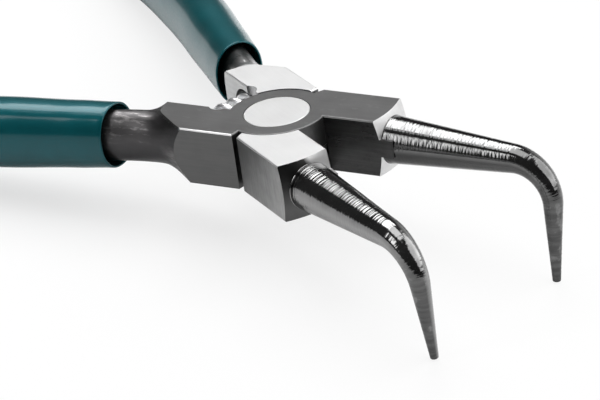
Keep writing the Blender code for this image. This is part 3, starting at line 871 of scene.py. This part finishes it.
# The dark tip is darker on its lower side as painted shade; the other is lighter there as a painted
# reflection of the floor
TIPS = {1: turned_steel("tip_dark", grey(0.145), grey(0.235), grey(0.1), 0.0),
        -1: turned_steel("tip_painted_floor_reflection", grey(0.19), grey(0.31), grey(0.3), 0.5)}
RIVET = ground_steel("rivet_top", grey(0.65), grey(0.7), 0.44, -1, relief=0.05)
GRIP = grip_plastic()
SPRING = spring_wire()


# The pieces

def place_piece(name, mesh, side, nodes, materials):
    for material in materials:
        mesh.materials.append(material)
    mesh.transform(ARM[side])
    item = add_object(name, mesh)
    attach(item, BODY[side])
    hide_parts(*nodes)
    return item


for side, letter, slot, materials in ((1, "a", "dark_steel", DARK), (-1, "b", "bright_steel", BRIGHT)):
    mesh = half_body(side, lap_on_top=side > 0)
    smooth_by_angle(mesh, 26)
    mesh.materials.clear()
    sort_faces(mesh, side)
    place_piece("forged_half_" + letter, mesh, side, ["half_" + letter], materials)
    place_piece("turned_tip_" + letter, tip_mesh(side), side, ["half_" + letter], [TIPS[side]])
    place_piece("dipped_grip_" + letter, grip_mesh(side), side, ["grip_" + letter], [GRIP])

rivet_profile = [(-HEAD, RIVET_R - RIVET_CHAMFER), (-HEAD + RIVET_CHAMFER, RIVET_R),
                 (-HEAD + RIVET_DEPTH, RIVET_R), (-HEAD + RIVET_DEPTH, SHANK_R), (-RIVET_DEPTH, SHANK_R),
                 (-RIVET_DEPTH, RIVET_R), (-RIVET_CHAMFER, RIVET_R), (0, RIVET_R - RIVET_CHAMFER)]
place_piece("flush_rivet", turned("rivet", rivet_profile), -1, ["pivot_rivet"], [RIVET])

coil = spring_mesh()
coil.transform(STANCE)
coil = add_object("coil_spring", coil, SPRING)
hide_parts("return_spring")
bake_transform(coil)


# Floor, light and world: a white sheet in a dim room, with a long softbox and a squarer one overhead, a
# narrow one at the side and a wide pale one at the right, placed where the turned tips and the grips
# mirror them in the photograph

FLOOR_R, FLOOR_DROP = 0.45, 0.0002
SHADOW_CENTRE, SHADOW_REACH = (-0.06, -0.08, 0), (0.07, 0.2)
DIM, FILL = 0.06, 0.1
PALE_SECTOR, PALE_EDGE = (0.25, 0.968, 0), (0.62, 0.92)


def floor_material():
    """A white sheet that keeps the tool's shadow and turns to plain white further off, for the camera."""
    look = Look("floor_white", grey(0.74), 0.0, 0.6)
    look.shader.inputs["Specular IOR Level"].default_value = 0.1
    distance = look.add("VectorMath")
    distance.operation = "DISTANCE"
    distance.inputs[1].default_value = SHADOW_CENTRE
    look.feed(distance.inputs[0], look.add("TexCoord").outputs["Object"])
    far = look.remap(distance.outputs["Value"], *SHADOW_REACH, 0.64, 0.975)
    white = look.add("Emission")
    path = look.add("LightPath")
    mixed = look.add("MixShader")
    look.feed(mixed.inputs[0], look.product(path.outputs["Is Camera Ray"], far))
    look.feed(mixed.inputs[1], look.shader.outputs[0])
    look.feed(mixed.inputs[2], white.outputs[0])
    look.feed(look.nodes["Material Output"].inputs["Surface"], mixed.outputs[0])
    return look.material


def make_floor():
    work = bmesh.new()
    work.faces.new([work.verts.new((x, y, 0)) for x, y in arc(FLOOR_R, 0, 2 * math.pi, 96)[:-1]])
    floor = add_object("floor", mesh_from("floor", work), floor_material())
    floor.location.z = -FLOOR_DROP


def softbox(name, centre, width, height, radiance, level=False):
    """A lamp centred in the tool's frame, in metres, that faces the head, or straight down when level."""
    data = bpy.data.lights.new(name, "AREA")
    data.shape = "RECTANGLE"
    data.size, data.size_y = width, height
    data.energy = radiance * 4 * width * height
    item = bpy.data.objects.new(name, data)
    bpy.context.scene.collection.objects.link(item)
    item.location = STANCE @ Vector(centre)
    facing = STANCE.to_3x3()
    if not level:
        facing = (item.location - STANCE.translation).to_track_quat("Z", "Y").to_matrix()
    item.rotation_euler = facing.to_euler()


def make_world():
    """White for the camera, and for mirrors a dim room with a white sector at the right and back."""
    world = bpy.data.worlds.new("studio")
    bpy.context.scene.world = world
    world.use_nodes = True
    graph = Graph(world.node_tree)
    background = graph.nodes["Background"]
    background.inputs["Color"].default_value = (1, 1, 1, 1)
    toward = graph.add("VectorMath")
    toward.operation = "DOT_PRODUCT"
    toward.inputs[1].default_value = PALE_SECTOR
    graph.feed(toward.inputs[0], graph.add("TexCoord").outputs["Generated"])
    mirrored = graph.remap(toward.outputs["Value"], *PALE_EDGE, DIM, 1.0)
    path = graph.add("LightPath")
    glossy = graph.calculate("MAXIMUM", path.outputs["Is Glossy Ray"], path.outputs["Is Transmission Ray"])
    lit = graph.calculate("ADD", FILL, graph.product(glossy, graph.calculate("SUBTRACT", mirrored, FILL)))
    more = graph.product(path.outputs["Is Camera Ray"], graph.calculate("SUBTRACT", 1.0, lit))
    graph.feed(background.inputs["Strength"], graph.calculate("ADD", lit, more))


make_floor()
make_world()
softbox("strip_overhead", (-0.395, 0.2475, 0.7), 0.32, 0.805, 5.5, level=True)
softbox("small_overhead", (-0.0075, 0.01, 0.7), 0.455, 0.58, 1.9, level=True)
softbox("side_softbox", (-0.225, -0.728, 0.47), 0.18, 0.6, 3.2)
softbox("wall_right", (0.75, 0.52, 0.6), 1.5, 1.2, 1.7)
bpy.context.scene.view_settings.view_transform = "Standard"
